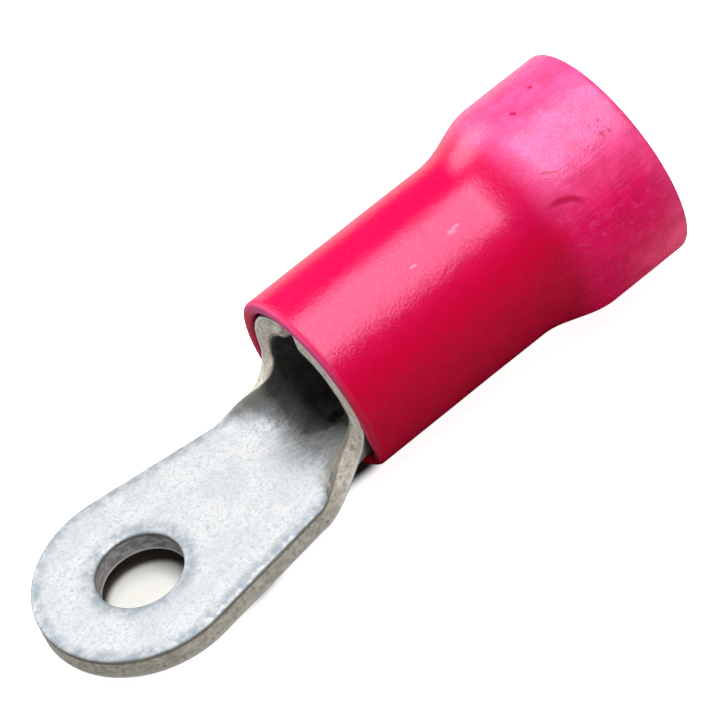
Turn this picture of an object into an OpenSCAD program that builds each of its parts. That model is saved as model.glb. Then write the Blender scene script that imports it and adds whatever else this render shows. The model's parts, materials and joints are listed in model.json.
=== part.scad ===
// Insulated ring terminal: a tongue with a stud hole, stamped and rolled from
// one strip of tinned copper, and a soft sleeve with a bell mouth for the wire.
// The origin is the centre of the stud hole on the underside of the tongue.
// +X runs to the wire entry and +Z is up through the hole. Millimetres.

/* [Strip] */
// Thickness of the copper strip
sheet_t = 1.25; // [0.8:0.05:1.5]
// Rounding that the punch leaves along the upper edges, inside once rolled
roll_r = 0.25; // [0.1:0.05:0.35]

/* [Tongue] */
// Diameter of the stud hole
stud_hole_d = 4.3; // [3.2:0.1:5.3]
// Width of the tongue across its round tip
tongue_w = 10.5; // [9.5:0.1:12]
// From the stud hole's centre to the front edge of the barrel
stud_to_barrel = 11.2; // [10:0.1:14]

/* [Neck] */
// Width of the strip where it starts to curl
neck_w = 8.3; // [7.2:0.1:9]
// Length over which the flat strip curls up to the barrel's radius
curl_len = 3.7; // [3:0.1:4.5]
// Corner radius between the neck's edge and the front edge of the barrel
corner_r = 1.4; // [0.8:0.1:2]
// How far the barrel's belly hangs below the underside of the tongue
belly_drop = 0.42; // [0:0.01:0.8]

/* [Barrel] */
// Inner diameter of the wire barrel
wire_bore_d = 5.7; // [5:0.1:6.4]
// Length of the wire barrel
barrel_len = 10; // [8:0.1:12]
// Width of the butt seam between the two wings
seam_gap = 0.12; // [0.05:0.01:0.3]
// Depth of the vee left inside, where the wings' edges turn away from the bore
seam_vee = 0.25; // [0.15:0.05:0.35]
// How far the wings' front corners are cut back at the seam
wing_corner = 0.25; // [0.1:0.05:0.5]
// Chamfer that leads the wire strands into the bore
lead_in = 0.4; // [0.2:0.05:0.6]
// Number of grip grooves round the inside of the bore
groove_count = 3; // [0:1:4]
// Depth of the grip grooves
groove_depth = 0.2; // [0.1:0.05:0.3]
// Width of the grip grooves
groove_w = 0.5; // [0.3:0.1:0.8]

/* [Sleeve] */
// Wall of the sleeve
sleeve_wall = 0.65; // [0.5:0.05:0.9]
// Gap all round between the barrel and the sleeve
sleeve_clearance = 0.07; // [0.05:0.01:0.12]
// How far the sleeve reaches past the front edge of the barrel
sleeve_lead = 0.08; // [0.05:0.01:0.5]
// Outer diameter of the bell mouth
bell_d = 11.3; // [10.6:0.1:12.5]
// Length of the slope between the narrow part and the bell
flare_len = 3.7; // [2.5:0.1:5]
// Length of the straight part of the bell
bell_len = 4.3; // [3:0.1:6]
// Rounding of the sleeve's lips
lip_r = 0.25; // [0.1:0.01:0.25]

/* [Hidden] */
$fn = 96;

tip_r = tongue_w / 2;
neck_half = neck_w / 2;
bore_r = wire_bore_d / 2;
barrel_r = bore_r + sheet_t;
roll_mid_r = bore_r + sheet_t / 2; // middle of the rolled strip
axis_z = barrel_r - belly_drop;
curl_start = stud_to_barrel - curl_len;
corner_start = stud_to_barrel - corner_r;

flare_clear = 0.25;                // from the barrel's end to the slope
sleeve_bore_r = barrel_r + sleeve_clearance;
sleeve_r = sleeve_bore_r + sleeve_wall;
bell_r = bell_d / 2;
sleeve_front = stud_to_barrel - sleeve_lead;
flare_start = sleeve_lead + barrel_len + flare_clear;
flare_end = flare_start + flare_len;
sleeve_len = flare_end + bell_len;

weld = 0.3;                        // the neck runs this far into the barrel wall
weld_inset = 0.02;                 // and stays this far inside its faces
over = 1;                          // cutters reach this far past what they cut

curl_steps = 14;
corner_steps = 12;
across_steps = 20;
roll_steps = 4;
flare_steps = 14;
lip_steps = 5;

// Angle of the tapering sides, which leave the round tip along a tangent
reach = norm([curl_start, neck_half]);
taper = atan2(curl_start, neck_half) - acos(tip_r / reach);
tangent_x = tip_r * sin(taper);
tangent_half = tip_r * cos(taper);

function ease(u) = u * u * (3 - 2 * u);
function limit(u) = min(1, max(0, u));

// Share of the barrel's curvature that the strip has reached at x
function curl(x) = ease(limit((x - curl_start) / curl_len));

// Half the width of the strip at x, measured along its curl
function half_width(x) =
    x < curl_start
    ? neck_half + (curl_start - x) * tan(taper)
    : let (into_corner = min(corner_r, max(0, x - corner_start)))
      neck_half + corner_r - sqrt(corner_r * corner_r - into_corner * into_corner);

// Point on the section at x: s runs along the strip's middle, n off it
function strip_point(x, s, n) =
    let (bend = max(curl(x), 0.001) / roll_mid_r)
    let (turn = s * bend * 180 / PI)
    let (mid_z = sheet_t / 2 - belly_drop * curl(x))
    [x, sin(turn) / bend - n * sin(turn), mid_z + (1 - cos(turn)) / bend + n * cos(turn)];

// Places across half a section, from the middle out, with the rolled edge last
function across_half(half) = concat(
    [for (j = [0 : across_steps / 2 - 1]) (half - roll_r) * j * 2 / across_steps],
    [for (k = [0 : roll_steps]) half - roll_r + roll_r * sin(90 * k / roll_steps)]);
function edge_drop(half, s) =
    let (past = max(0, abs(s) - (half - roll_r)))
    roll_r - sqrt(max(0, roll_r * roll_r - past * past));
function across(half) =
    let (right = across_half(half), last = len(right) - 1)
    concat([for (j = [last : -1 : 1]) -right[j]], right);

// Stations along the strip, close together where it curls and at the corners
stations = concat(
    [tangent_x],
    [for (i = [0 : curl_steps]) curl_start + (corner_start - curl_start) * i / curl_steps],
    [for (i = [1 : corner_steps]) corner_start + corner_r * sin(90 * i / corner_steps)],
    [stud_to_barrel + weld]);

module strip() {
    columns = len(across(1));
    rows = len(stations);
    lower = [for (x = stations, s = across(half_width(x)))
        strip_point(x, s, weld_inset * curl(x) - sheet_t / 2)];
    upper = [for (x = stations, s = across(half_width(x)))
        strip_point(x, s, sheet_t / 2 - weld_inset * curl(x) - edge_drop(half_width(x), s))];
    shift = rows * columns;
    last = columns - 1;
    end = (rows - 1) * columns;
    faces = concat(
        [for (i = [0 : rows - 2], j = [0 : last - 1])
            let (a = i * columns + j, b = a + columns)
            each [[a, b, a + 1], [a + 1, b, b + 1],
                [a + shift, a + 1 + shift, b + shift], [a + 1 + shift, b + 1 + shift, b + shift]]],
        [for (i = [0 : rows - 2])
            let (a = i * columns, b = a + columns, c = a + last, d = b + last)
            each [[a, b + shift, b], [a, a + shift, b + shift],
                [c, d, d + shift], [c, d + shift, c + shift]]],
        [for (j = [0 : last - 1])
            each [[j, j + 1 + shift, j + shift], [j, j + 1, j + 1 + shift],
                [end + j, end + j + 1 + shift, end + j + 1],
                [end + j, end + j + shift, end + j + 1 + shift]]]);
    polyhedron(points = concat(lower, upper), faces = faces);
}

// Quarter circle of points about a centre, from one angle to another
function arc(centre, r, from, to) =
    [for (k = [0 : lip_steps]) let (a = from + (to - from) * k / lip_steps)
        centre + r * [cos(a), sin(a)]];

// The round tip, a disc whose upper edge is rolled over
module tip() {
    rotate_extrude()
        polygon(concat(
            [[0, 0], [tip_r, 0]],
            arc([tip_r - roll_r, sheet_t - roll_r], roll_r, 0, 90),
            [[0, sheet_t]]));
}

module stud_hole() {
    translate([0, 0, -over])
        cylinder(d = stud_hole_d, h = sheet_t + 2 * over);
    // The punch rolls the hole's upper edge over as well
    rotate_extrude()
        polygon(concat(
            [[0, sheet_t - roll_r]],
            arc([stud_hole_d / 2 + roll_r, sheet_t - roll_r], roll_r, 180, 90),
            [[stud_hole_d / 2 + roll_r, sheet_t + over], [0, sheet_t + over]]));
}

// Everything along the barrel is drawn upright and laid down on its axis
module on_axis(x) {
    translate([x, 0, axis_z])
        rotate([0, 90, 0])
            children();
}

module grip_groove() {
    rotate_extrude()
        polygon([
            [bore_r - over, 0],
            [bore_r, 0],
            [bore_r + groove_depth, groove_w * 0.25],
            [bore_r + groove_depth, groove_w * 0.75],
            [bore_r, groove_w],
            [bore_r - over, groove_w]]);
}

// The rolled edge round the barrel's front, the inner one
module rolled_mouth() {
    rotate_extrude()
        polygon(concat(
            [[bore_r - over, -over], [bore_r + roll_r, -over], [bore_r + roll_r, 0]],
            arc([bore_r + roll_r, roll_r], roll_r, 270, 180),
            [[bore_r - over, roll_r]]));
}

// The butt seam. The last of each wing keeps some of the strip's flatness, so
// its inner edge stands off the bore and the two leave a vee along the inside.
module seam() {
    seam_len = barrel_len + 2 * over;
    vee_side = 2 * seam_vee / sqrt(2);
    translate([stud_to_barrel - over, -seam_gap / 2, axis_z])
        cube([seam_len, seam_gap, barrel_r + over]);
    translate([stud_to_barrel - over, 0, axis_z + bore_r])
        rotate([45, 0, 0])
            translate([0, -vee_side / 2, -vee_side / 2])
                cube([seam_len, vee_side, vee_side]);
}

// The notch at the seam's front, where the two wings' corners are cut back
module wing_corners() {
    notch_side = sqrt(2) * (wing_corner + seam_gap / 2);
    translate([stud_to_barrel, 0, axis_z])
        rotate(45)
            translate([-notch_side / 2, -notch_side / 2, 0])
                cube([notch_side, notch_side, barrel_r + over]);
}

module barrel() {
    difference() {
        on_axis(stud_to_barrel)
            cylinder(r = barrel_r, h = barrel_len);
        on_axis(stud_to_barrel - over)
            cylinder(r = bore_r, h = barrel_len + 2 * over);
        on_axis(stud_to_barrel + barrel_len - lead_in)
            cylinder(r1 = bore_r, r2 = bore_r + lead_in + over, h = lead_in + over);
        on_axis(stud_to_barrel)
            rolled_mouth();
        for (i = [1 : 1 : groove_count])
            on_axis(stud_to_barrel + barrel_len * i / (groove_count + 1) - groove_w / 2)
                grip_groove();
        seam();
        wing_corners();
    }
}

module tongue_and_barrel() {
    color([0.80, 0.81, 0.82]) {
        difference() {
            union() {
                tip();
                strip();
            }
            stud_hole();
        }
        barrel();
    }
}

// Slope between two radii, level at both ends
function flare(from, to, r0, r1) =
    [for (k = [0 : flare_steps]) let (u = k / flare_steps)
        [r0 + (r1 - r0) * ease(u), from + (to - from) * u]];

module insulating_sleeve() {
    color([0.88, 0.06, 0.32])
        on_axis(sleeve_front)
            rotate_extrude()
                polygon(concat(
                    arc([sleeve_bore_r + lip_r, lip_r], lip_r, 180, 270),
                    arc([sleeve_r - lip_r, lip_r], lip_r, 270, 360),
                    flare(flare_start, flare_end, sleeve_r, bell_r),
                    arc([bell_r - lip_r, sleeve_len - lip_r], lip_r, 0, 90),
                    arc([bell_r - sleeve_wall + lip_r, sleeve_len - lip_r], lip_r, 90, 180),
                    flare(flare_end, flare_start, bell_r - sleeve_wall, sleeve_bore_r)));
}

tongue_and_barrel();
insulating_sleeve();
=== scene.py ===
import json
import math
import bmesh
import bpy
from mathutils import Matrix, Vector, noise
from mathutils.kdtree import KDTree


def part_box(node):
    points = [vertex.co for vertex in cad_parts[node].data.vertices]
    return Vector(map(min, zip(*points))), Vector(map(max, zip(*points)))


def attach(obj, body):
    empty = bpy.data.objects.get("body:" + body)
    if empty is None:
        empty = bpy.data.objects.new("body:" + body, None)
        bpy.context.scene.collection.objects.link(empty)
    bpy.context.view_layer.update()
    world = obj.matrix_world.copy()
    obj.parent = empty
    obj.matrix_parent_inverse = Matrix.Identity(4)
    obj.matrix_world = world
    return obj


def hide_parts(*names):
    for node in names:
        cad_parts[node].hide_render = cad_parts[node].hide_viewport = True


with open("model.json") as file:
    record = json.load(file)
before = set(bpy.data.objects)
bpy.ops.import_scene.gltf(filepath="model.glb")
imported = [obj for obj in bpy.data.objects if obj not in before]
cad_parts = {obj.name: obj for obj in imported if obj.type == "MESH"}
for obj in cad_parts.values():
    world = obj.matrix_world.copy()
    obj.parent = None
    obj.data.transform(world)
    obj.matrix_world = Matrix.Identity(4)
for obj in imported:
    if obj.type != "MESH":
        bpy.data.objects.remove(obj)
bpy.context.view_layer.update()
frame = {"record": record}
print("frame loaded")

mm = 0.001
stampingLow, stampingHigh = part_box("tongue_and_barrel")
sleeveLow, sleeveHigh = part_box("insulating_sleeve")
mounts = {m["name"]: m for m in frame["record"]["mounts"]}

# Pieces are worked on in millimetres, where the edit tools keep their grip,
# and are brought down to metres once they are finished.
axisZ = (sleeveLow.z + sleeveHigh.z) / 2 / mm
barrelRadius = stampingHigh.z / mm - axisZ
boreRadius = mounts["wire_barrel"]["dims"]["r_mm"]
near = 0.01         # in mm, counts as the same place
touching = 0.001    # and for corners that were drawn on one plane


def onlyThis(piece):
    bpy.ops.object.select_all(action="DESELECT")
    piece.select_set(True)
    bpy.context.view_layer.objects.active = piece


def newPiece(name):
    piece = bpy.context.object
    piece.name = name
    piece.data.name = name
    onlyThis(piece)
    return piece


def pick(piece, kind, test):
    # leaves edit mode with just the corners, edges or faces that pass the test selected
    bpy.ops.mesh.select_mode(type=kind)
    bpy.ops.mesh.select_all(action="DESELECT")
    work = bmesh.from_edit_mesh(piece.data)
    for part in {"VERT": work.verts, "EDGE": work.edges, "FACE": work.faces}[kind]:
        part.select_set(test(part))
    if kind != "FACE":
        work.select_flush_mode()
    bmesh.update_edit_mesh(piece.data)


def sliceAcross(piece, spot, direction, test):
    # one bisect through the faces that pass the test
    pick(piece, "FACE", test)
    bpy.ops.mesh.bisect(plane_co=spot, plane_no=direction, threshold=1e-5)


def toMetres(piece):
    onlyThis(piece)
    piece.scale = (mm, mm, mm)
    bpy.ops.object.transform_apply(location=True, rotation=True, scale=True)


def eased(value, start, end):
    u = min(1, max(0, (value - start) / (end - start)))
    return u * u * (3 - 2 * u)


def hump(value, middle, reach):
    # 1 in the middle, easing to 0 at the reach on either side
    return eased(reach - abs(value - middle), 0, reach)


def slices(start, end, step):
    count = max(1, round((end - start) / step))
    return [start + (end - start) * k / count for k in range(count + 1)]


view = {
    "aim": Vector((13.49, -1.25, 4.33)) * mm,
    "distance": 232.77 * mm,
    "azimuth": -20.464,
    "elevation": 45.52,
    "roll": -23.557,
    "lens": 254.55,
    "sensor": 36,
    "nearest": 10 * mm,
}

around, above, lean = (math.radians(view[k]) for k in ("azimuth", "elevation", "roll"))
right = Vector((math.cos(around), math.sin(around), 0))
back = Vector((
    math.sin(around) * math.cos(above),
    -math.cos(around) * math.cos(above),
    math.sin(above),
))
up = back.cross(right)
rolledRight = math.cos(lean) * right + math.sin(lean) * up
rolledUp = math.cos(lean) * up - math.sin(lean) * right
bpy.ops.object.camera_add()
camera = bpy.context.object
camera.name = "camera"
camera.data.lens = view["lens"]
camera.data.sensor_width = view["sensor"]
camera.data.clip_start = view["nearest"]
camera.matrix_world = Matrix((rolledRight, rolledUp, back)).transposed().to_4x4()
camera.location = view["aim"] + view["distance"] * back
bpy.context.scene.camera = camera
print("camera set")


# the terminal is punched flat and then curled up into the barrel, lengths in mm
stamping = {
    "sheet": barrelRadius - boreRadius,
    "tipRadius": -stampingLow.x / mm,
    "tipCorners": 128,
    "sideCorner": 29,               # the corner where a side leaves the round of the tip
    "holeRadius": mounts["stud_hole"]["dims"]["r_mm"],
    "holeCorners": 96,
    "barrelStart": 11.2,
    "barrelEnd": stampingHigh.x / mm,
    "neckHalf": 4.15,
    "curlLength": 3.7,
    "cornerRadius": 1.4,
    "wingCorner": 0.55,
    "rollWidth": 0.34,              # how far the punch rolls the upper edge over
    "rollDepth": 0.12,
    "burr": 0.05,
    "leadIn": 0.4,
    "seamGap": 0.12,
    "seamVee": 0.45,
    "farVee": 1.7,                  # how far from the seam each wing begins to thin
    "nearVee": 1.1,
    "veeCurve": 1.4,
    "grooveDepth": 0.2,
    "grooveWidth": 0.5,
    "grooves": 3,

    # rows of faces
    "neckStep": 0.14,
    "neckRunsOn": 0.5,
    "barrelStep": 0.9,
    "barrelInset": (0.8, 0.6),
    "acrossStep": 0.27,
    "acrossInset": 0.35,
    "edgeRows": (0.17, 0.95, 0.15),     # lowest, highest and step

    # the wings' front edges: the far one has a pit where it tore, with lumps pushed
    # up round it, each one's push, place across, reach, height and reach
    "frontEdge": (0.05, 0.45),
    "tears": (
        (0.22, 9.35, 0.95, 0.42, 0.42),
        (-0.13, 10.35, 0.5, 0.62, 0.6),
        (-0.10, 8.3, 0.6, 0.55, 0.5),
    ),
    "ragged": 0.05,
    "raggedFrom": 5.4,
    "raggedGrain": (1.7, 2.4),          # across and up, the higher the finer
    "raggedSeed": 7,
    "standIn": 0.11,
    "standInAt": (7.3, 2.6),
    "standInFor": 2.5,
    "pinch": 0.045,
    "pinchStart": (7.6, 9.2),
    "pinchEnd": (10.5, 11.3),

    # where shade is painted on the tin: grey, then dark, inside on its way into the barrel, and a
    # painted shadow outside at the sleeve
    "tarnishFrom": 9.3,
    "tarnishEarlier": 1.1,              # towards the strip's edges
    "tarnishEdges": (2.8, 4.2),
    "tarnishFades": (-0.4, 0.7),        # either side of where it begins
    "darkFrom": 10.1,
    "darkLater": 1.6,                   # on the near half
    "darkFades": (-0.4, 0.3),
    # a painted shadow outside, on the barrel's underside where it goes into the sleeve
    "grimeOutside": (10.8, 11.15),
    "shearedBelow": 0.21,               # from the top, where the rolled edge begins
}
midRadius = boreRadius + stamping["sheet"] / 2
curlStart = stamping["barrelStart"] - stamping["curlLength"]
bellyDrop = barrelRadius - axisZ
wingHalf = math.pi * midRadius - stamping["seamGap"] / 2


def curledUp(flat):
    # where a point of the flat blank lies once the strip is rolled
    share = eased(flat.x, curlStart, stamping["barrelStart"])
    bend = max(share, 0.001) / midRadius
    turn = flat.y * bend
    offMiddle = flat.z - stamping["sheet"] / 2
    middle = stamping["sheet"] / 2 - bellyDrop * share
    return Vector((
        flat.x,
        math.sin(turn) / bend - offMiddle * math.sin(turn),
        middle + (1 - math.cos(turn)) / bend + offMiddle * math.cos(turn),
    ))


def punchBlank():
    s = stamping
    bpy.ops.mesh.primitive_circle_add(
        vertices=s["tipCorners"], radius=s["tipRadius"], fill_type="NOTHING")
    blank = newPiece("terminal")
    bpy.ops.object.mode_set(mode="EDIT")

    # keep the round of the tip, then draw the sides on from its two ends
    tangent = math.radians(s["sideCorner"] * 360 / s["tipCorners"])
    endX, endY = s["tipRadius"] * math.cos(tangent), s["tipRadius"] * math.sin(tangent)
    pick(blank, "VERT", lambda v: v.co.x > endX + near)
    bpy.ops.mesh.delete(type="VERT")
    for side in (1, -1):
        reached = Vector((endX, side * endY, 0))
        pick(blank, "VERT", lambda v: (v.co - reached).length < near)
        for x, y in (
            (curlStart, s["neckHalf"]),
            (s["barrelStart"], s["neckHalf"]),
            (s["barrelStart"], wingHalf),
            (s["barrelEnd"], wingHalf),
        ):
            target = Vector((x, side * y, 0))
            bpy.ops.mesh.extrude_vertices_move(TRANSFORM_OT_translate={"value": target - reached})
            reached = target
    bpy.ops.mesh.select_all(action="SELECT")
    bpy.ops.mesh.edge_face_add()

    # fillets between the neck and the wings, and the wings' softened corners
    def atWingFront(corner):
        return abs(corner.co.x - s["barrelStart"]) < near

    pick(blank, "VERT", lambda v: atWingFront(v) and abs(abs(v.co.y) - s["neckHalf"]) < near)
    bpy.ops.mesh.bevel(offset=s["cornerRadius"], segments=14, affect="VERTICES")
    pick(blank, "VERT", lambda v: atWingFront(v) and abs(v.co.y) > wingHalf - near)
    bpy.ops.mesh.bevel(offset=s["wingCorner"], segments=3, affect="VERTICES")
    bpy.ops.mesh.select_all(action="SELECT")
    bpy.ops.mesh.extrude_region_move(TRANSFORM_OT_translate={"value": (0, 0, s["sheet"])})
    bpy.ops.mesh.select_all(action="SELECT")
    bpy.ops.mesh.normals_make_consistent(inside=False)
    bpy.ops.object.mode_set(mode="OBJECT")

    # punch the stud hole
    bpy.ops.mesh.primitive_cylinder_add(
        vertices=s["holeCorners"], radius=s["holeRadius"], depth=4 * s["sheet"])
    punch = newPiece("punch")
    onlyThis(blank)
    cut = blank.modifiers.new("studHole", "BOOLEAN")
    cut.operation = "DIFFERENCE"
    cut.solver = "EXACT"
    cut.object = punch
    bpy.ops.object.modifier_apply(modifier=cut.name)
    bpy.data.objects.remove(punch)
    return blank


def rollEdges(blank):
    s = stamping
    thick = s["sheet"]

    def onRim(edge, z):
        if any(abs(v.co.z - z) > touching for v in edge.verts) or len(edge.link_faces) != 2:
            return False
        return any(abs(f.normal.z) < 0.5 for f in edge.link_faces)

    def atBack(edge):
        return all(abs(v.co.x - s["barrelEnd"]) < touching for v in edge.verts)

    bpy.ops.object.mode_set(mode="EDIT")
    pick(blank, "EDGE", lambda e: onRim(e, thick) and not atBack(e))
    bpy.ops.mesh.bevel(offset=s["rollWidth"], segments=6, affect="EDGES")
    # the roll is wider than it is deep
    work = bmesh.from_edit_mesh(blank.data)
    for vertex in work.verts:
        if vertex.co.z > thick - s["rollWidth"] - touching:
            vertex.co.z = thick - (thick - vertex.co.z) * s["rollDepth"] / s["rollWidth"]
    bmesh.update_edit_mesh(blank.data)
    pick(blank, "EDGE", lambda e: onRim(e, thick) and atBack(e))
    bpy.ops.mesh.bevel(offset=s["leadIn"], segments=1, affect="EDGES")
    pick(blank, "EDGE", lambda e: onRim(e, 0))
    bpy.ops.mesh.bevel(offset=s["burr"], segments=2, affect="EDGES")
    bpy.ops.object.mode_set(mode="OBJECT")


def cutForCurl(blank):
    s = stamping
    start, end = s["barrelStart"], s["barrelEnd"]
    afterFront, beforeEnd = s["barrelInset"]
    inset = s["acrossInset"]

    def pastCurl(face):
        return face.calc_center_median().x > curlStart - near

    def everywhere(face):
        return True

    bpy.ops.object.mode_set(mode="EDIT")
    for x in slices(curlStart, start + s["neckRunsOn"], s["neckStep"]):
        sliceAcross(blank, (x, 0, 0), (1, 0, 0), everywhere)
    for x in slices(start + afterFront, end - beforeEnd, s["barrelStep"]):
        sliceAcross(blank, (x, 0, 0), (1, 0, 0), pastCurl)
    for y in slices(-wingHalf + inset, wingHalf - inset, s["acrossStep"]):
        sliceAcross(blank, (0, y, 0), (0, 1, 0), pastCurl)
    # the sheared edges get a few rows through the thickness
    for z in slices(*s["edgeRows"]):
        sliceAcross(blank, (0, 0, z), (0, 0, 1), everywhere)
    # grip grooves across the inside of the barrel
    for k in range(s["grooves"]):
        middle = start + (end - start) * (k + 1) / (s["grooves"] + 1)
        for share in (-0.5, -0.25, 0.25, 0.5):
            sliceAcross(blank, (middle + share * s["grooveWidth"], 0, 0), (1, 0, 0), pastCurl)
        pick(blank, "VERT", lambda v: abs(v.co.x - middle) < 0.3 * s["grooveWidth"]
             and v.co.z > s["sheet"] - near)
        bpy.ops.transform.translate(value=(0, 0, -s["grooveDepth"]))
    bpy.ops.object.mode_set(mode="OBJECT")


def markBlank(blank):
    # what the finish needs to know of each point before the strip is curled
    s = stamping
    thick = s["sheet"]
    mesh = blank.data
    names = ("across", "depth", "soot", "rim")
    for name in names:
        mesh.attributes.new(name, "FLOAT", "POINT")
    across, depth, soot, rim = (mesh.attributes[name] for name in names)

    def sheared(polygon):
        return abs(polygon.normal.z) < 0.3

    outline = {index for polygon in mesh.polygons if sheared(polygon) for index in polygon.vertices}
    nearest = KDTree(len(outline))
    for index in sorted(outline):
        nearest.insert((*mesh.vertices[index].co.xy, 0), index)
    nearest.balance()
    for vertex in mesh.vertices:
        x, y, z = vertex.co
        across.data[vertex.index].value = y
        depth.data[vertex.index].value = z
        rim.data[vertex.index].value = nearest.find((x, y, 0))[2]
        # inside, shade is painted on: the tin turns grey and then dark on its way into the barrel
        tarnishFrom = s["tarnishFrom"] - s["tarnishEarlier"] * eased(abs(y), *s["tarnishEdges"])
        darkFrom = s["darkFrom"] + s["darkLater"] * eased(-y, -0.5, 0.5)
        tarnished = eased(x, *(tarnishFrom + past for past in s["tarnishFades"]))
        darkened = eased(x, *(darkFrom + past for past in s["darkFades"]))
        inside = eased(z, 0.5 * thick, thick - 0.25) * (0.5 * tarnished + 0.5 * darkened)
        # and outside a painted shadow darkens it where it goes into the sleeve
        outside = (1 - eased(z, 0, 0.1)) * eased(x, *s["grimeOutside"])
        soot.data[vertex.index].value = max(inside, outside)
    for polygon in mesh.polygons:
        if sheared(polygon) and s["burr"] < polygon.center.z < thick - s["shearedBelow"]:
            polygon.material_index = 1


def dressWings(blank):
    s = stamping
    start = s["barrelStart"]
    fineAcross, fineUp = s["raggedGrain"]
    for vertex in blank.data.vertices:
        x, y, z = vertex.co
        reach = s["farVee"] if y > 0 else s["nearVee"]
        toSeam = abs(y) - (wingHalf - reach)
        if toSeam > 0 and x > start - 0.1:
            # the last of each wing thins towards the seam
            z -= z / s["sheet"] * s["seamVee"] * (toSeam / reach) ** s["veeCurve"]
        front = 1 - eased(x, *(start + past for past in s["frontEdge"]))
        for push, middle, width, height, tall in s["tears"]:
            x += push * front * hump(y, middle, width) * hump(z, height, tall)
        if abs(y) > s["raggedFrom"]:
            spot = Vector((s["raggedSeed"], y * fineAcross, z * fineUp))
            x += s["ragged"] * front * noise.noise(spot)
        # the far wing stands in a little from the sleeve at its mouth
        z += (s["standIn"] * hump(y, *s["standInAt"])
              * (1 - eased(x, start, start + s["standInFor"])) * eased(x, start - 1, start))
        # the near edge of the neck was pinched when the barrel was rolled
        if y < 0:
            y *= 1 - s["pinch"] * eased(x, *s["pinchStart"]) * (1 - eased(x, *s["pinchEnd"]))
        vertex.co = (x, y, z)


def curlBlank(blank):
    for vertex in blank.data.vertices:
        vertex.co = curledUp(vertex.co)


terminal = punchBlank()
rollEdges(terminal)
cutForCurl(terminal)
markBlank(terminal)
dressWings(terminal)
curlBlank(terminal)
toMetres(terminal)
bpy.ops.object.shade_smooth_by_angle(angle=math.radians(32))
print("terminal stamped and curled:", len(terminal.data.polygons), "faces")


sleeveShape = {
    "front": sleeveLow.x / mm,
    "rim": sleeveHigh.x / mm,
    "bellRadius": (sleeveHigh.y - sleeveLow.y) / 2 / mm,
    "narrowRadius": 4.82,
    "wall": 0.65,
    "lip": 0.22,
    "flareStart": 21.45,
    "flareEnd": 25.15,
    "corners": 160,
    "narrowStep": 0.6,          # between rings
    "flareStep": 0.2,
    "bellStep": 0.4,
    "frontCut": 0.36,
    "frontCutAt": (232, 52),    # in degrees round the sleeve, and how far either way
    "frontCutFades": (0.3, 3),
    "flareLean": 0.22,
    "flareLeanAt": (40, 50),
    "flareLeanAlong": (1.2, 2.4),
    "waviness": 0.018,
    "waveGrain": (0.25, 1.6),   # along and round, the higher the finer
    "waveShift": 0.6,           # draws the waves in, so they hardly pass the drawn radius
}


def drawSleeve():
    s = sleeveShape
    narrow, bell = s["narrowRadius"], s["bellRadius"]
    bpy.ops.mesh.primitive_circle_add(
        vertices=s["corners"], radius=narrow, fill_type="NOTHING",
        location=(s["front"], 0, axisZ), rotation=(0, math.pi / 2, 0))
    sleeve = newPiece("sleeve")
    bpy.ops.object.transform_apply(location=True, rotation=True, scale=True)
    bpy.ops.object.mode_set(mode="EDIT")
    bpy.ops.mesh.select_all(action="SELECT")
    rings = [(x, narrow) for x in slices(s["front"], s["flareStart"], s["narrowStep"])[1:]]
    for x in slices(s["flareStart"], s["flareEnd"], s["flareStep"])[1:]:
        rings.append((x, narrow + (bell - narrow) * eased(x, s["flareStart"], s["flareEnd"])))
    rings += [(x, bell) for x in slices(s["flareEnd"], s["rim"], s["bellStep"])[1:]]
    reachedX, reachedRadius = s["front"], narrow
    for x, radius in rings:
        bpy.ops.mesh.extrude_edges_move(TRANSFORM_OT_translate={"value": (x - reachedX, 0, 0)})
        grow = radius / reachedRadius
        bpy.ops.transform.resize(value=(1, grow, grow), center_override=(x, 0, axisZ))
        reachedX, reachedRadius = x, radius
    bpy.ops.mesh.select_all(action="SELECT")
    bpy.ops.mesh.normals_make_consistent(inside=False)
    bpy.ops.object.mode_set(mode="OBJECT")
    wall = sleeve.modifiers.new("wall", "SOLIDIFY")
    wall.thickness = s["wall"]
    wall.offset = -1
    wall.use_even_offset = True
    bpy.ops.object.modifier_apply(modifier=wall.name)

    def fromAxis(co):
        return math.hypot(co.y, co.z - axisZ)

    def onLip(edge):
        one, other = (v.co for v in edge.verts)
        if any(min(abs(co.x - s["front"]), abs(co.x - s["rim"])) > near for co in (one, other)):
            return False
        return abs(fromAxis(one) - fromAxis(other)) < near

    # soft lips at both ends
    bpy.ops.object.mode_set(mode="EDIT")
    pick(sleeve, "EDGE", onLip)
    bpy.ops.mesh.bevel(offset=s["lip"], segments=5, affect="EDGES")
    bpy.ops.object.mode_set(mode="OBJECT")
    return sleeve


def relaxSleeve(sleeve):
    # soft vinyl is never quite round, and its front edge was not cut square
    s = sleeveShape
    fineAlong, fineRound = s["waveGrain"]
    leanMiddle, leanReach = s["flareLeanAlong"]
    for vertex in sleeve.data.vertices:
        x, y, z = vertex.co
        angle = math.atan2(z - axisZ, y)
        degrees = math.degrees(angle) % 360
        radius = math.hypot(y, z - axisZ)
        atFront = 1 - eased(x, *(s["front"] + past for past in s["frontCutFades"]))
        x += s["frontCut"] * atFront * hump(degrees, *s["frontCutAt"])
        inFlare = hump(x, s["flareStart"] + leanMiddle, leanReach)
        x += s["flareLean"] * inFlare * hump(degrees, *s["flareLeanAt"])
        wave = noise.noise(Vector(
            (x * fineAlong, math.cos(angle) * fineRound, math.sin(angle) * fineRound)))
        radius += s["waviness"] * (wave - s["waveShift"])
        vertex.co = (x, radius * math.cos(angle), axisZ + radius * math.sin(angle))


sleeve = drawSleeve()
relaxSleeve(sleeve)
toMetres(sleeve)
bpy.ops.object.shade_smooth_by_angle(angle=math.radians(40))
print("sleeve drawn:", len(sleeve.data.polygons), "faces")


# the finishes are put together from these
def newMaterial(name):
    material = bpy.data.materials.new(name)
    material.use_nodes = True
    return material, material.node_tree, material.node_tree.nodes["Principled BSDF"]


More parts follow.
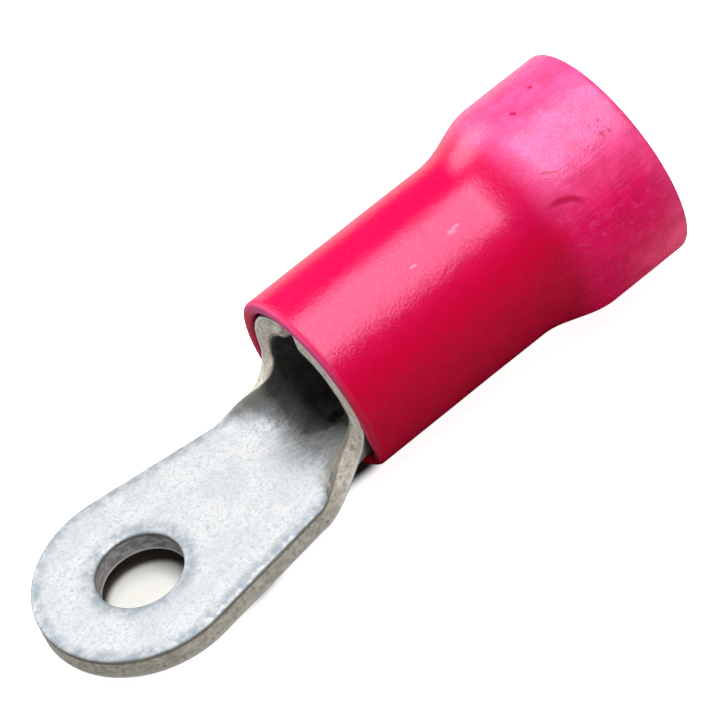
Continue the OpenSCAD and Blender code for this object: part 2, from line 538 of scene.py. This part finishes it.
def plug(tree, value, socket):
    # a link when the value comes from another node, otherwise a plain setting
    if isinstance(value, bpy.types.NodeSocket):
        tree.links.new(value, socket)
    else:
        socket.default_value = value


def sums(tree, operation, first, second=0.0, third=0.0):
    node = tree.nodes.new("ShaderNodeMath")
    node.operation = operation
    for socket, value in zip(node.inputs, (first, second, third)):
        plug(tree, value, socket)
    return node.outputs[0]


def times(tree, first, *others):
    for other in others:
        first = sums(tree, "MULTIPLY", first, other)
    return first


def scaled(tree, value, factor, offset):
    return sums(tree, "MULTIPLY_ADD", value, factor, offset)


def minus(tree, first, second):
    return sums(tree, "SUBTRACT", first, second)


def farOut(tree, first, second):
    # how far a spot is from the middle, from its two distances
    squares = sums(tree, "ADD", times(tree, first, first), times(tree, second, second))
    return sums(tree, "SQRT", squares)


def ramp(tree, value, start, end, low=0.0, high=1.0):
    node = tree.nodes.new("ShaderNodeMapRange")
    node.interpolation_type = "SMOOTHSTEP"
    plug(tree, value, node.inputs["Value"])
    for name, number in (("From Min", start), ("From Max", end), ("To Min", low), ("To Max", high)):
        plug(tree, number, node.inputs[name])
    return node.outputs["Result"]


def blendColours(tree, amount, first, second):
    node = tree.nodes.new("ShaderNodeMix")
    node.data_type = "RGBA"
    plug(tree, amount, node.inputs["Factor"])
    for name, colour in (("A", first), ("B", second)):
        socket = [i for i in node.inputs if i.name == name and i.type == "RGBA"][0]
        plug(tree, colour if isinstance(colour, bpy.types.NodeSocket) else (*colour, 1), socket)
    return [o for o in node.outputs if o.type == "RGBA"][0]


def moveVector(tree, operation, first, second):
    node = tree.nodes.new("ShaderNodeVectorMath")
    node.operation = operation
    tree.links.new(first, node.inputs[0])
    tree.links.new(second, node.inputs[1])
    return node.outputs[0]


def placeInMm(tree):
    spot = tree.nodes.new("ShaderNodeTexCoord")
    grow = tree.nodes.new("ShaderNodeVectorMath")
    grow.operation = "SCALE"
    grow.inputs["Scale"].default_value = 1 / mm
    tree.links.new(spot.outputs["Object"], grow.inputs[0])
    return grow.outputs[0]


def splitPlace(tree):
    parts = tree.nodes.new("ShaderNodeSeparateXYZ")
    tree.links.new(placeInMm(tree), parts.inputs[0])
    return parts.outputs


def readAttribute(tree, name):
    node = tree.nodes.new("ShaderNodeAttribute")
    node.attribute_name = name
    return node.outputs["Fac"]


def addBump(tree, shader, height, depth):
    bump = tree.nodes.new("ShaderNodeBump")
    bump.inputs["Distance"].default_value = depth * mm
    bump.inputs["Strength"].default_value = 1
    tree.links.new(height, bump.inputs["Height"])
    tree.links.new(bump.outputs["Normal"], shader.inputs["Normal"])


def newGroup(name, inputs, outputs):
    tree = bpy.data.node_groups.new(name, "ShaderNodeTree")
    for label, kind, number in inputs:
        socket = tree.interface.new_socket(label, in_out="INPUT", socket_type=kind)
        socket.default_value = number
    for label in outputs:
        tree.interface.new_socket(label, in_out="OUTPUT", socket_type="NodeSocketFloat")
    given, result = tree.nodes.new("NodeGroupInput"), tree.nodes.new("NodeGroupOutput")
    return tree, given.outputs, result.inputs


def useGroup(tree, group, **settings):
    node = tree.nodes.new("ShaderNodeGroup")
    node.node_tree = group
    for name, value in settings.items():
        plug(tree, value, node.inputs[name])
    return node.outputs


def buildMottle():
    # soft blotches of one size, in millimetres, stretched along an axis if wished
    tree, given, result = newGroup("mottle", (
        ("Size", "NodeSocketFloat", 0.5),
        ("Stretch", "NodeSocketVector", (1, 1, 1)),
        ("Hardness", "NodeSocketFloat", 0.5),
        ("Bias", "NodeSocketFloat", 0.5),
        ("Seed", "NodeSocketFloat", 0.0),
    ), ("Mask", "Height"))
    squeezed = moveVector(tree, "DIVIDE", placeInMm(tree), given["Stretch"])
    moved = moveVector(tree, "ADD", squeezed, given["Seed"])
    cloud = tree.nodes.new("ShaderNodeTexNoise")
    cloud.inputs["Detail"].default_value = 2
    cloud.inputs["Roughness"].default_value = 0.6
    tree.links.new(moved, cloud.inputs["Vector"])
    tree.links.new(sums(tree, "DIVIDE", 1.0, given["Size"]), cloud.inputs["Scale"])
    # the harder the blotches are, the shorter the ramp about the bias
    reach = scaled(tree, given["Hardness"], -0.28, 0.3)
    low, high = minus(tree, given["Bias"], reach), sums(tree, "ADD", given["Bias"], reach)
    tree.links.new(ramp(tree, cloud.outputs[0], low, high), result["Mask"])
    tree.links.new(cloud.outputs[0], result["Height"])
    return tree


def buildNick():
    # one small mark on a surface: where it lies, its turn, its size and its bow
    tree, given, result = newGroup("nick", (
        ("Along", "NodeSocketFloat", 0.0),
        ("Across", "NodeSocketFloat", 0.0),
        ("Mark along", "NodeSocketFloat", 0.0),
        ("Mark across", "NodeSocketFloat", 0.0),
        ("Turn", "NodeSocketFloat", 0.0),
        ("Length", "NodeSocketFloat", 0.2),
        ("Width", "NodeSocketFloat", 0.1),
        ("Bow", "NodeSocketFloat", 0.0),
    ), ("Mask",))
    turn = sums(tree, "RADIANS", given["Turn"])
    cosine, sine = sums(tree, "COSINE", turn), sums(tree, "SINE", turn)
    ahead = minus(tree, given["Along"], given["Mark along"])
    aside = minus(tree, given["Across"], given["Mark across"])
    lengthwise = sums(tree, "ADD", times(tree, ahead, cosine), times(tree, aside, sine))
    crosswise = minus(tree, times(tree, aside, cosine), times(tree, ahead, sine))
    bow = times(tree, given["Bow"], times(tree, lengthwise, lengthwise))
    bowed = sums(tree, "ABSOLUTE", minus(tree, crosswise, bow))
    toEnds = sums(tree, "DIVIDE", sums(tree, "ABSOLUTE", lengthwise), given["Length"])
    toSides = sums(tree, "DIVIDE", bowed, given["Width"])
    mask = times(tree, ramp(tree, toEnds, 1.0, 0.4), ramp(tree, toSides, 1.0, 0.2))
    tree.links.new(mask, result["Mask"])
    return tree


mottle = buildMottle()
nick = buildNick()


def scatterNicks(tree, along, across, marks):
    # each mark has its place along and across, turn, length, width and bow
    names = ("Mark along", "Mark across", "Turn", "Length", "Width", "Bow")
    together = 0.0
    for mark in marks:
        one = useGroup(tree, nick, Along=along, Across=across, **dict(zip(names, mark)))
        together = sums(tree, "MAXIMUM", one["Mask"], together)
    return together


tinLook = {
    "bright": (0.66, 0.665, 0.67),
    "grey": (0.47, 0.51, 0.54),
    # the next colour, a blue-grey, is a painted reflection; after it come a painted grey shade, a
    # real stain, a near black painted shade and a black painted shadow
    "dull": (0.29, 0.34, 0.385),
    "tarnish": (0.235, 0.235, 0.23),
    "stain": (0.27, 0.255, 0.22),
    "soot": (0.075, 0.080, 0.074),
    "pit": (0.015, 0.016, 0.016),
    "metallic": 0.4,
    "roughness": 0.50,
    "flakeRoughness": 0.10,         # added by the flakes and by the painted grey shade
    "tarnishRoughness": 0.15,
    "grainDepth": 0.012,

    "flake": {"Size": 0.13, "Hardness": 0.8, "Bias": 0.52},
    "grain": {"Size": 0.34, "Hardness": 0.75, "Seed": 11.0},
    "patch": {"Size": 1.6, "Bias": 0.52, "Seed": 3.0},
    "blot": {"Size": 0.5, "Hardness": 0.6, "Seed": 8.0},
    "streak": {"Size": 0.45, "Stretch": (2.5, 1, 1), "Seed": 21.0},
    "smudge": {"Size": 0.8, "Seed": 15.0},

    # how much each one covers: the part that its blotches vary, then the rest
    "speckled": (0.5, 0.35),
    "patched": 0.4,
    "dulled": (0.6, 0.25),
    "streaked": (0.6, 0.2),
    "tarnished": (0.25, 0.72),
    "stained": (0.6, 0.4),
    "nicked": 0.8,
    "sooty": (-0.28, 1.0),
    "uneven": 0.55,

    # where each one lies, in mm
    "ring": (0.3, 0.95),            # out from the hole's edge
    "band": (0.25, 0.8),            # in from the outer edge
    "topFace": (0.9, 1.0),
    "taper": 0.146,                 # how fast the tongue narrows
    "streaksFrom": (8.0, 9.6),
    "stainsFrom": (7.8, 9.2),
    "stainWidth": (1.75, 1.25),     # on the near side and on the far one
    "tarnishShows": (0.0, 0.6),     # of the darkness marked on the blank
    "sootShows": (0.55, 1.0),
    "nicks": (
        (10.8, -2.5, 60, 0.22, 0.13, 0),
        (10.3, -3.3, 35, 0.30, 0.12, 0),
        (9.1, -4.0, 0, 0.30, 0.12, 0),
        (8.55, -4.05, 20, 0.2, 0.1, 0),
    ),
    # a black painted shadow patch on the barrel's floor just inside its front
    "deepMark": ((11.75, 0.25, 15, 0.55, 0.5, 0),),
}


def mattTin():
    look = tinLook
    material, tree, shader = newMaterial("mattTin")
    x = splitPlace(tree)[0]
    across, depth = readAttribute(tree, "across"), readAttribute(tree, "depth")
    flake, grain, patch, blot, streak, smudge = (
        useGroup(tree, mottle, **look[name])
        for name in ("flake", "grain", "patch", "blot", "streak", "smudge"))
    onTop = ramp(tree, depth, *look["topFace"])

    speckled = times(tree, flake["Mask"], scaled(tree, grain["Mask"], *look["speckled"]))
    colour = blendColours(tree, speckled, look["bright"], look["grey"])
    colour = blendColours(tree, times(tree, patch["Mask"], look["patched"]), colour, look["grey"])

    # painted reflection: the rolled edges and the ring round the hole are painted a duller
    # blue-grey, as if they mirrored a darker room
    fromHole = farOut(tree, x, across)
    ringStart, ringEnd = (stamping["holeRadius"] + out for out in look["ring"])
    ring = ramp(tree, fromHole, ringStart, ringEnd, 1.0, 0.0)
    atTip = minus(tree, stamping["tipRadius"], fromHole)
    ahead = sums(tree, "MINIMUM", x, curlStart)
    narrowed = scaled(tree, ahead, -look["taper"], stamping["tipRadius"])
    atSide = minus(tree, narrowed, sums(tree, "ABSOLUTE", across))
    pastTip = times(tree, ramp(tree, x, -0.5, 0.5), minus(tree, atSide, atTip))
    band = ramp(tree, sums(tree, "ADD", atTip, pastTip), *look["band"], 1.0, 0.0)
    dull = times(tree, sums(tree, "MAXIMUM", ring, band), onTop)
    dull = times(tree, dull, scaled(tree, blot["Mask"], *look["dulled"]))
    colour = blendColours(tree, dull, colour, look["dull"])

    # soft blue-grey streaks of painted reflection lead into a grey painted shade where the neck
    # curls into the barrel
    streaked = scaled(tree, streak["Mask"], *look["streaked"])
    leading = times(tree, ramp(tree, x, *look["streaksFrom"]), streaked, onTop)
    colour = blendColours(tree, leading, colour, look["dull"])
    coarse = minus(tree, blot["Height"], 0.5)
    fine = times(tree, minus(tree, grain["Height"], 0.5), 0.5)
    uneven = sums(tree, "ADD", coarse, fine)
    soot = scaled(tree, uneven, look["uneven"], readAttribute(tree, "soot"))
    # painted shade: a grey, uneven, where the neck curls into the barrel
    tarnished = ramp(tree, soot, *look["tarnishShows"])
    cover = times(tree, tarnished, scaled(tree, flake["Mask"], *look["tarnished"]))
    colour = blendColours(tree, cover, colour, look["tarnish"])

    # stains and nicks where the neck was worked
    width = ramp(tree, across, -1.0, 1.0, *look["stainWidth"])
    worked = ramp(tree, minus(tree, readAttribute(tree, "rim"), width), 0.0, -0.7)
    worked = times(tree, worked, ramp(tree, x, *look["stainsFrom"]), onTop)
    stained = times(tree, worked, scaled(tree, blot["Mask"], *look["stained"]))
    colour = blendColours(tree, stained, colour, look["stain"])
    nicks = scatterNicks(tree, x, across, look["nicks"])
    # the nicks are real dark marks, drawn in the same dark as the painted shade
    colour = blendColours(tree, times(tree, nicks, look["nicked"]), colour, look["soot"])

    # painted shade: inside the barrel it is painted all but black
    dark = ramp(tree, soot, *look["sootShows"])
    dark = times(tree, dark, scaled(tree, smudge["Mask"], *look["sooty"]))
    colour = blendColours(tree, dark, colour, look["soot"])
    # and a black painted shadow patch on the barrel's floor just inside its front
    deepMark = scatterNicks(tree, x, across, look["deepMark"])
    colour = blendColours(tree, deepMark, colour, look["pit"])
    tree.links.new(colour, shader.inputs["Base Color"])

    shader.inputs["Metallic"].default_value = look["metallic"]
    rough = scaled(tree, flake["Mask"], look["flakeRoughness"], look["roughness"])
    rough = scaled(tree, tarnished, look["tarnishRoughness"], rough)
    tree.links.new(rough, shader.inputs["Roughness"])
    height = sums(tree, "ADD", flake["Height"], sums(tree, "ADD", tarnished, blot["Height"]))
    addBump(tree, shader, height, look["grainDepth"])
    return material


edgeLook = {
    "pale": (0.92, 0.87, 0.76),
    "tan": (0.68, 0.62, 0.51),
    "burr": (1.0, 0.98, 0.94),
    "brown": (0.20, 0.16, 0.12),
    "steel": (0.66, 0.655, 0.67),
    "shade": (0.36, 0.33, 0.31),
    "metallic": 0.1,
    "roughness": 0.5,
    "blotchRoughness": 0.15,
    "grainDepth": 0.04,
    "blotch": {"Size": 0.32, "Stretch": (1.6, 1.6, 1), "Hardness": 0.55, "Seed": 1.0},
    "fleck": {"Size": 0.22, "Hardness": 0.65, "Bias": 0.63, "Seed": 5.0},
    "flecked": 0.65,
    "insideHole": (0.3, 0.1),       # out from the hole's edge
    # the next height range is a painted shadow in the crease under the rolled edge
    "crease": (0.93, 1.03, 0.0, 0.75),      # between these heights, from none to this much
    "burrLine": (0.22, 0.10, 0.0, 0.8),
}


def shearedEdge():
    look = edgeLook
    material, tree, shader = newMaterial("shearedEdge")
    x, y = splitPlace(tree)[:2]
    depth = readAttribute(tree, "depth")
    blotch, fleck = (useGroup(tree, mottle, **look[name]) for name in ("blotch", "fleck"))
    colour = blendColours(tree, blotch["Mask"], look["pale"], look["tan"])
    colour = blendColours(tree, times(tree, fleck["Mask"], look["flecked"]), colour, look["brown"])
    # greyer inside the hole
    outside, inside = (stamping["holeRadius"] + out for out in look["insideHole"])
    inHole = ramp(tree, farOut(tree, x, y), outside, inside)
    greyed = blendColours(tree, blotch["Mask"], look["steel"], look["shade"])
    colour = blendColours(tree, inHole, colour, greyed)
    # a painted shadow in the crease right under the rolled edge, and a bright line where the cut
    # broke through
    colour = blendColours(tree, ramp(tree, depth, *look["crease"]), colour, look["brown"])
    colour = blendColours(tree, ramp(tree, depth, *look["burrLine"]), colour, look["burr"])
    tree.links.new(colour, shader.inputs["Base Color"])
    shader.inputs["Metallic"].default_value = look["metallic"]
    rough = scaled(tree, blotch["Mask"], look["blotchRoughness"], look["roughness"])
    tree.links.new(rough, shader.inputs["Roughness"])
    height = sums(tree, "ADD", blotch["Height"], fleck["Height"])
    addBump(tree, shader, height, look["grainDepth"])
    return material


# lengths in mm, and heights above the sleeve's axis
vinylLook = {
    "deep": (0.84, 0.0005, 0.044),
    # the next colour is painted light: a pinker top where the light falls on the narrow part
    "upper": (0.86, 0.0008, 0.090),
    "bell": (0.88, 0.004, 0.145),
    # the next pale pink is painted light on the bell's top, the lip and the rim, and the colour of
    # real pale streaks and folds
    "faded": (0.93, 0.12, 0.37),
    "scuff": (0.42, 0.001, 0.05),
    "glint": (1.0, 0.30, 0.48),
    "through": (0.15, 0.0, 0.006),      # light that comes through the bell's bare wall
    # painted glow low near the bell's rim, for light thrown up from the floor
    "underRim": (0.36, 0.055, 0.09),
    "ior": 1.52,
    "tint": (1, 0.64, 0.95, 1),
    "roughness": 0.16,
    "grainRoughness": 0.08,
    "flareRoughness": 0.05,
    "lipRoughness": 0.45,
    "grainDepth": 0.02,

    "grain": {"Size": 0.10, "Hardness": 0.6, "Seed": 2.0},
    "cloud": {"Size": 0.9, "Hardness": 0.3, "Seed": 6.0},
    "drawn": {"Size": 0.14, "Stretch": (14, 1, 1), "Bias": 0.56, "Seed": 4.0},
    "fold": {"Size": 0.30, "Stretch": (1.6, 1, 1), "Hardness": 0.95, "Bias": 0.62, "Seed": 20.0},

    # where each one begins and ends, and for some how much of it shows there
    "bellFrom": (22.9, 24.5),
    "bellWanders": 0.6,
    "upperFrom": (2.3, 3.8),
    "bellTop": (2.2, 5.2),
    # a painted highlight along the lip at the mouth, most on top, with some wear, and painted light
    # from the floor at the rim
    "mouth": (0.20, 0.05),
    "mouthFades": (1.5, 4.5, 0.05, 0.7),
    "rimFades": 1.6,
    "rimFaded": 0.5,
    "linesShow": (1.0, 4.5, 0.06, 0.30),
    "foldsShow": (4.2, 3.0, 0.0, 0.24),
    "underside": (1.2, -1.8),
    "undersideClouds": (-0.4, 1.0),
    "lastOfBell": (24.5, 29.0),
    "roughFlare": (20.5, 23.5),
    "roughLip": (0.35, 0.15),
    "grainRelief": (19.5, 22.0, 0.75, 0.55),
    "linesRelief": 0.12,
    "clouded": (0.26, 0.14),
    "grained": 0.16,
    "scuffed": 0.85,
    "glinting": 0.6,

    # along in mm, around in degrees, turn, length, width and bow
    "markRadius": 5.2,          # where round the sleeve they are measured
    "marks": (
        (27.3, 79.5, 20, 0.16, 0.17, 0),
        (25.7, 87, 60, 0.22, 0.16, 0),
        (27.9, 124.5, 40, 0.19, 0.19, 0),
        (28.3, 125.5, 0, 0.13, 0.14, 0),
        (28.2, 118.5, 0, 0.11, 0.14, 0),
        (21.5, 109, 30, 0.16, 0.18, 0),
        (24.8, 123.5, 30, 0.50, 0.10, 0),
        (24.65, 138.5, 24, 1.05, 0.24, 0.22),
    ),
    "glints": (
        (19.75, 114, 12, 0.28, 0.20, 0),
        (20.05, 113, 0, 0.25, 0.12, 0),
        (17.3, 116, 10, 0.22, 0.11, 0),
        (14.4, 197.5, 5, 0.35, 0.07, 0),
    ),
}


def softVinyl():
    look = vinylLook
    front, rim = sleeveShape["front"], sleeveShape["rim"]
    material, tree, shader = newMaterial("softVinyl")
    x, y, z = splitPlace(tree)
    height = minus(tree, z, axisZ)
    grain, cloud, drawn, fold = (
        useGroup(tree, mottle, **look[name]) for name in ("grain", "cloud", "drawn", "fold"))

    # the bell has no metal behind it and is painted paler for the light that comes through its
    # wall, and paler still on top, where a pale pink stands in for the light falling on it
    wandering = scaled(tree, minus(tree, cloud["Height"], 0.5), look["bellWanders"], x)
    onBell = ramp(tree, wandering, *look["bellFrom"])
    # painted light: the narrow part is painted pinker on top, where the light falls
    colour = blendColours(tree, ramp(tree, height, *look["upperFrom"]), look["deep"], look["upper"])
    colour = blendColours(tree, onBell, colour, look["bell"])
    onTop = times(tree, onBell, ramp(tree, height, *look["bellTop"]))
    colour = blendColours(tree, onTop, colour, look["faded"])
    # painted highlight along the lip at the mouth, most on top, with some wear; painted light from
    # the floor on the last of the bell before its rim
    lipLitAndWorn = ramp(tree, x, *(front + back for back in look["mouth"]))
    lipLitAndWorn = times(tree, lipLitAndWorn, ramp(tree, height, *look["mouthFades"]))
    rimLit = ramp(tree, x, rim - look["rimFades"], rim, 0.0, look["rimFaded"])
    colour = blendColours(tree, sums(tree, "MAXIMUM", lipLitAndWorn, rimLit), colour, look["faded"])

    # cloudy all over, most on the bell, with fine pale lines drawn along it, painted paler towards
    # the top where the highlight lies, and paler folds low on its sides
    clouded = times(tree, cloud["Mask"], scaled(tree, onBell, *look["clouded"]))
    colour = blendColours(tree, clouded, colour, look["scuff"])
    colour = blendColours(tree, times(tree, grain["Mask"], look["grained"]), colour, look["scuff"])
    lines = times(tree, drawn["Mask"], ramp(tree, height, *look["linesShow"]), onBell)
    colour = blendColours(tree, lines, colour, look["faded"])
    folds = times(tree, fold["Mask"], onBell, ramp(tree, height, *look["foldsShow"]))
    colour = blendColours(tree, folds, colour, look["faded"])

    # marks and glints, set one by one
    around = times(tree, sums(tree, "ARCTAN2", height, y), look["markRadius"])
    perDegree = math.radians(look["markRadius"])
    for kind, strength, shade in (("marks", "scuffed", "scuff"), ("glints", "glinting", "glint")):
        placed = [(along, degrees * perDegree, *rest) for along, degrees, *rest in look[kind]]
        shown = times(tree, scatterNicks(tree, x, around, placed), look[strength])
        colour = blendColours(tree, shown, colour, look[shade])
    tree.links.new(colour, shader.inputs["Base Color"])
    shader.inputs["IOR"].default_value = look["ior"]
    shader.inputs["Specular Tint"].default_value = look["tint"]

    through = blendColours(tree, onBell, (0, 0, 0), look["through"])
    # painted glow: low on the last of the bell, light thrown up from the floor is painted in as a
    # glow
    below = ramp(tree, height, *look["underside"])
    below = times(tree, below, ramp(tree, x, *look["lastOfBell"]))
    below = times(tree, below, scaled(tree, cloud["Mask"], *look["undersideClouds"]))
    through = blendColours(tree, below, through, look["underRim"])
    tree.links.new(through, shader.inputs["Emission Color"])
    shader.inputs["Emission Strength"].default_value = 1

    rough = scaled(tree, grain["Mask"], look["grainRoughness"], look["roughness"])
    rough = scaled(tree, ramp(tree, x, *look["roughFlare"]), look["flareRoughness"], rough)
    onLip = ramp(tree, x, *(front + back for back in look["roughLip"]), 0.0, look["lipRoughness"])
    tree.links.new(sums(tree, "ADD", rough, onLip), shader.inputs["Roughness"])
    relief = scaled(tree, grain["Height"], ramp(tree, x, *look["grainRelief"]), cloud["Height"])
    relief = scaled(tree, times(tree, drawn["Mask"], onBell), look["linesRelief"], relief)
    addBump(tree, shader, relief, look["grainDepth"])
    return material


terminal.data.materials.append(mattTin())
terminal.data.materials.append(shearedEdge())
sleeve.data.materials.append(softVinyl())

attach(terminal, "root")
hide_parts("tongue_and_barrel")
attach(sleeve, "root")
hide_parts("insulating_sleeve")
print("finishes on")


studio = {
    "lampPlace": Vector((75, -15, 300)) * mm,
    "lampSize": (156 * mm, 350 * mm),
    "lampPower": 1.15,
    "sidePlace": Vector((-60, 260, 140)) * mm,
    "sideSize": 180 * mm,
    "sidePower": 0.5,
    "ambient": 0.15,
    "mirrored": 0.05,               # the room as glossy things see it
    "floorSize": 4,
    "floorRest": 11.5,              # where the sleeve's narrow part would rest on it, in mm
    "floorDrop": 0.4,
    "floorGrey": 0.45,
    "floorRoughness": 0.9,
    "floorMirrored": (0.03, 0.5),   # the floor as reflections see it: painted dark in front of the terminal for its shadow, and behind it
    "floorSeen": (0.84, 0.83, 0.78),
    # painted shadow: the floor under the terminal, as the camera sees it
    "floorCovered": (0.09, 0.075, 0.06),
    "floorGlow": 0.92,              # for the camera only, away from the terminal

    # half the width of the painted shadow under the terminal, in mm: from, to, and the width there
    # and there
    "tongueCovers": (3.0, 9.5, 3.5, 1.3),
    "sleeveUncovers": (11.5, 14.0, 0.0, 0.9),
    "farSideCovers": 4.5,
    "coverFades": 0.8,
    "coverEnds": (22.0, 25.0),
    "holeUncovers": (1.95, 2.4),
}


def layFloor():
    # it slopes a little, as the bell is wider than the rest of the sleeve
    s = studio
    frontRest = Vector((s["floorRest"], axisZ - sleeveShape["narrowRadius"]))
    bellRest = Vector((sleeveShape["flareEnd"], axisZ - sleeveShape["bellRadius"]))
    fall = bellRest - frontRest
    bpy.ops.mesh.primitive_plane_add(
        size=s["floorSize"],
        location=(frontRest.x * mm, 0, (frontRest.y - s["floorDrop"]) * mm),
        rotation=(0, math.atan2(-fall.y, fall.x), 0))
    floor = newPiece("floor")
    bpy.ops.object.transform_apply(location=True, rotation=True, scale=True)
    material, tree, shader = newMaterial("palePaper")
    rays = tree.nodes.new("ShaderNodeLightPath").outputs
    seen = rays["Is Camera Ray"]
    x, y = splitPlace(tree)[:2]

    # how far a spot lies outside what covers it, as the camera sees it
    reach = farOut(tree, sums(tree, "MINIMUM", x, 0.0), y)
    nearCover = ramp(tree, x, *s["tongueCovers"])
    nearCover = minus(tree, nearCover, ramp(tree, x, *s["sleeveUncovers"]))
    cover = ramp(tree, y, -0.5, 0.5, nearCover, s["farSideCovers"])
    away = ramp(tree, minus(tree, reach, cover), 0.0, s["coverFades"])
    away = sums(tree, "MAXIMUM", away, ramp(tree, x, *s["coverEnds"]))
    offHole = ramp(tree, farOut(tree, x, y), *s["holeUncovers"])
    # painted shadow: under the terminal the floor is painted near black for the camera, all but the
    # spot right under the hole
    paintedShadowAmount = times(tree, offHole, minus(tree, 1.0, away))
    seenFloor = blendColours(tree, paintedShadowAmount, s["floorSeen"], s["floorCovered"])
    # painted shade in reflections: glossy rays see the floor dark in front of the terminal, where
    # its shadow falls
    mirrored = ramp(tree, y, 0.0, 12.0, *s["floorMirrored"])
    shade = blendColours(tree, rays["Is Glossy Ray"], (s["floorGrey"],) * 3, mirrored)
    shade = blendColours(tree, seen, shade, seenFloor)
    tree.links.new(shade, shader.inputs["Base Color"])
    shader.inputs["Roughness"].default_value = s["floorRoughness"]
    shader.inputs["Specular IOR Level"].default_value = 0
    glow = blendColours(tree, times(tree, away, seen), (0, 0, 0), (s["floorGlow"],) * 3)
    tree.links.new(glow, shader.inputs["Emission Color"])
    shader.inputs["Emission Strength"].default_value = 1
    # it isn't in the way of anyone looking up from below
    sides = tree.nodes.new("ShaderNodeNewGeometry").outputs
    below = times(tree, sides["Backfacing"], seen)
    tree.links.new(minus(tree, 1.0, below), shader.inputs["Alpha"])
    floor.data.materials.append(material)


def hangLamps():
    s = studio
    bpy.ops.object.light_add(type="AREA", location=s["lampPlace"])
    softbox = bpy.context.object
    softbox.name = "softbox"
    softbox.data.shape = "RECTANGLE"
    softbox.data.size, softbox.data.size_y = s["lampSize"]
    softbox.data.energy = s["lampPower"]
    # a weaker one low behind, on the tongue's side
    away = s["sidePlace"] - view["aim"]
    bpy.ops.object.light_add(
        type="AREA", location=s["sidePlace"], rotation=away.to_track_quat("Z", "Y").to_euler())
    panel = bpy.context.object
    panel.name = "side panel"
    panel.data.shape = "SQUARE"
    panel.data.size = s["sideSize"]
    panel.data.energy = s["sidePower"]


def paintRoom():
    world = bpy.data.worlds.new("room")
    bpy.context.scene.world = world
    world.use_nodes = True
    tree = world.node_tree
    backdrop = tree.nodes["Background"].inputs
    backdrop["Color"].default_value = (1, 1, 1, 1)
    rays = tree.nodes.new("ShaderNodeLightPath").outputs
    plain = ramp(tree, rays["Is Glossy Ray"], 0.0, 1.0, studio["ambient"], studio["mirrored"])
    tree.links.new(ramp(tree, rays["Is Camera Ray"], 0.0, 1.0, plain, 1.0), backdrop["Strength"])


layFloor()
hangLamps()
paintRoom()
bpy.context.scene.view_settings.view_transform = "Standard"
print("studio lit")
